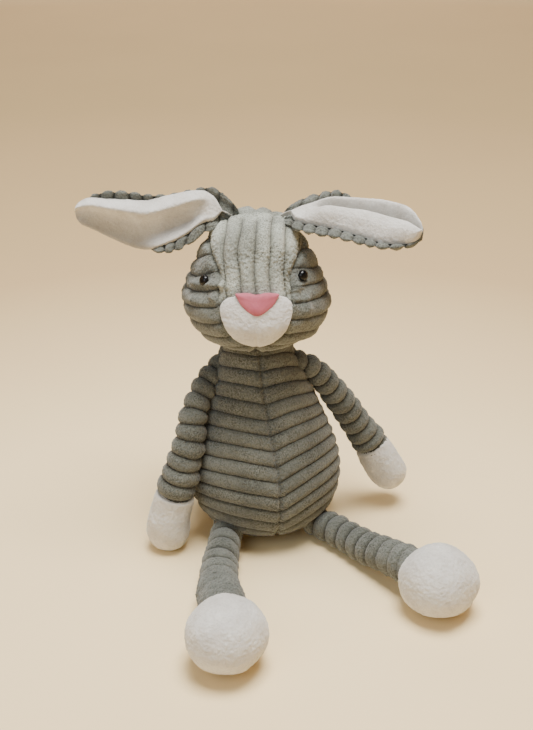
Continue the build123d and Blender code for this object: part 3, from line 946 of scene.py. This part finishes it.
def make_sleeve(limb, side, stations, width, phase, seed, ruffled=(70, 90, 0.0)):
    """A tube of corduroy with its ribs round the limb, like a string of barrels.

    width is a rib's, and phase moves the ribs along, both in millimetres. ruffled is where along the
    sleeve the pile starts to be rubbed up, where it is fully so, and how much."""
    node = f"{limb}_{side}"
    grid, along = tube(stations, SLEEVE_COLUMNS)
    grid = facing_out(grid)
    rubbed_from, rubbed_to, rubbing = ruffled
    rubbed = smooth(along, rubbed_from * MM, rubbed_to * MM)[:, None] * rubbing
    position = along[:, None] + phase * MM + 1.0 * MM * value_noise(grid, 14 * MM, seed)
    position = position + 3.0 * MM * value_noise(grid, 8 * MM, seed + 4) * rubbed
    rib = 1 - (1 - ribs(position, width * MM, 0.55)) * (1 - rubbed)
    rise = SLEEVE_RIB * (rib - 0.75) + 0.8 * MM * value_noise(grid, 11 * MM, seed + 1)
    rise = rise + 0.9 * MM * rubbed * value_noise(grid, 3.2 * MM, seed + 6)
    close = smooth(along, 0, SLEEVE_CLOSE) * (1 - smooth(along, along[-1] - SLEEVE_CLOSE, along[-1]))
    tufts = 0.28 * MM * (1 + 1.4 * rubbed)
    surface = with_pile(grid, rise * close[:, None], tufts, seed=seed + 2, closed=True)
    # Painted shade in the grooves between the ribs.
    piece = grid_piece(f"{node}_cord", surface, CORD, groove_depth(rib, 1.2), closed=True)
    declare(piece, f"{node}_sleeve")
    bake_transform(piece)
    end_rows = int(SLEEVE_FILL_END / SPACING)
    fill_piece(f"{node}_stuffing", grid[end_rows:-end_rows], LIMB_FIBRE, node, seed + 3)


make_sleeve("arm", "right", RIGHT_ARM, 9.6, 2.0, 61)
make_sleeve("arm", "left", LEFT_ARM, 9.6, 3.0, 71)
make_sleeve("leg", "right", RIGHT_LEG, 11.6, 1.0, 81, (60, 85, 0.75))
make_sleeve("leg", "left", LEFT_LEG, 9.9, 4.0, 91, (70, 78, 0.3))


# ---------------------------------------------------------------- hands, feet and tail

def make_fleece(part, side, body, grid, seed, lumps=0.8, fibre_from=0):
    """A soft fleece cover and the fibre in it, which starts at a row of the grid.

    side is empty for a part with none. lumps is in millimetres."""
    suffix = f"_{side}" if side else ""
    grid = facing_out(grid)
    lumpy = 0.7 * MM * value_noise(grid, 12 * MM, seed) + lumps * MM * value_noise(grid, 21 * MM, seed + 3)
    surface = with_pile(grid, lumpy - 0.4 * MM, FLEECE_PILE, FLEECE_TUFT, seed + 1, closed=True)
    surface[..., 2] = np.maximum(surface[..., 2], FLEECE_GAP)
    piece = grid_piece(f"{part}{suffix}_fleece", surface, FLEECE, closed=True)
    declare(piece, f"{part}_cover{suffix}", body)
    fill_piece(f"{part}_stuffing{suffix}", grid[fibre_from:], SOFT_FIBRE, body, seed + 2)


def make_hand(side, stations, seed):
    """A mitten that starts as a gathered rim round the wrist."""
    grid, _ = tube(stations, HAND_COLUMNS, HAND_FLAT)
    make_fleece("hand", side, f"hand_{side}", grid, seed, fibre_from=int(HAND_FILL_START / SPACING))


def make_ball(part, side, body, at, radius, seed, flat=1.0):
    """A round fleece ball, in millimetres. A flat below 1 presses it a little from above and below."""
    tilt = np.linspace(0.004, math.pi - 0.004, int(math.pi * radius / BALL_SPACING))
    turn = full_turn(int(2 * math.pi * radius / BALL_SPACING))
    ball = turned(np.sin(tilt), flat * np.cos(tilt), turn + math.pi / 2)
    make_fleece(part, side, body, np.array(at) * MM + radius * MM * ball, seed, lumps=0.08 * radius)


make_hand("right", RIGHT_HAND, 101)
make_hand("left", LEFT_HAND, 111)
make_ball("foot", "right", "foot_right", (-21, -152, 22.4), 24.8, 121, 0.93)
make_ball("foot", "left", "foot_left", (106.2, -102, 21.6), 23.2, 131, 0.96)
make_ball("tail", "", "torso", (-5, 52, 20), 12, 141)

CARRIED_OVER = {
    "eye_left": BEAD,
    "eye_right": BEAD,
    "eye_washer_left": PLASTIC,
    "eye_washer_right": PLASTIC,
    "pellet_bag": BAG,
}
for node, material in CARRIED_OVER.items():
    frame["nodes"][node].data.materials.clear()
    frame["nodes"][node].data.materials.append(material)


# ---------------------------------------------------------------- camera, light and backdrop

def make_stage():
    """A tan round floor that sweeps up into a backdrop all the way round, with painted light: palest round
    the toy, darker further out, paler up the wall.
    """
    material, tree, shader = new_material("backdrop_paper", 0.9)
    mottle = ramp(tree, noise(tree, 3, 2), (0.3, grey(0.96)), (0.7, grey(1.0)))
    apart = tree.nodes.new("ShaderNodeVectorMath")
    apart.operation = "DISTANCE"
    apart.inputs[1].default_value = TOY_PLACE
    tree.links.new(object_place(tree), apart.inputs[0])
    reach = tree.nodes.new("ShaderNodeMapRange")
    reach.inputs["From Max"].default_value = FADE_END
    tree.links.new(apart.outputs["Value"], reach.inputs["Value"])
    # Painted light on the tan paper: a pool of light round the toy, darker further out, paler again up the
    # wall where the lamps fall off.
    painted_floor_light = ramp(
        tree, reach.outputs["Result"],
        (0.0, (0.98, 0.77, 0.44)), (0.07, (0.95, 0.73, 0.405)), (0.16, (0.62, 0.43, 0.215)),
        (0.34, (0.55, 0.385, 0.185)), (0.57, (0.64, 0.44, 0.22)), (0.75, (0.88, 0.69, 0.45)),
    )
    tree.links.new(multiply(tree, painted_floor_light, mottle), shader.inputs["Base Color"])
    profile = [(0.001, 0.0), (0.5, 0.0), (1.2, 0.0), (FLOOR_RADIUS, 0.0)]
    for turn in np.radians(np.linspace(0, 90, 25)[1:]):
        profile.append((FLOOR_RADIUS + CURVE_RADIUS * math.sin(turn), CURVE_RADIUS * (1 - math.cos(turn))))
    profile.append((FLOOR_RADIUS + CURVE_RADIUS, WALL_TOP))
    radius, height = np.array(profile).T
    grid = turned(radius, height, full_turn(FLOOR_COLUMNS) + math.pi / 2)
    grid_piece("backdrop", grid[:, ::-1], material, closed=True)


def area_light(name, place_at, target, size, power, colour):
    """A square soft light that shines at a target."""
    data = bpy.data.lights.new(name, "AREA")
    data.shape = "SQUARE"
    data.size = size
    data.energy = power
    data.color = colour
    lamp = bpy.data.objects.new(name, data)
    lamp.location = place_at
    lamp.rotation_euler = (Vector(target) - Vector(place_at)).to_track_quat("-Z", "Y").to_euler()
    bpy.context.scene.collection.objects.link(lamp)


def make_camera():
    """The camera at the height and pitch that the toy is seen from."""
    data = bpy.data.cameras.new("camera")
    data.sensor_fit = "AUTO"
    data.sensor_width = SENSOR
    data.lens = LENS
    data.clip_end = 20
    camera = bpy.data.objects.new("camera", data)
    camera.location = CAMERA_PLACE
    camera.rotation_euler = (math.pi / 2 - CAMERA_PITCH, 0, 0)
    bpy.context.scene.collection.objects.link(camera)
    bpy.context.scene.camera = camera


def make_room():
    """The faint light that comes from all round."""
    world = bpy.data.worlds.new("room")
    world.use_nodes = True
    background = world.node_tree.nodes["Background"]
    background.inputs["Color"].default_value = (1.0, 0.96, 0.9, 1)
    background.inputs["Strength"].default_value = 0.2
    bpy.context.scene.world = world


make_camera()
make_stage()
for name, settings in LIGHTS.items():
    area_light(name, *settings)
make_room()
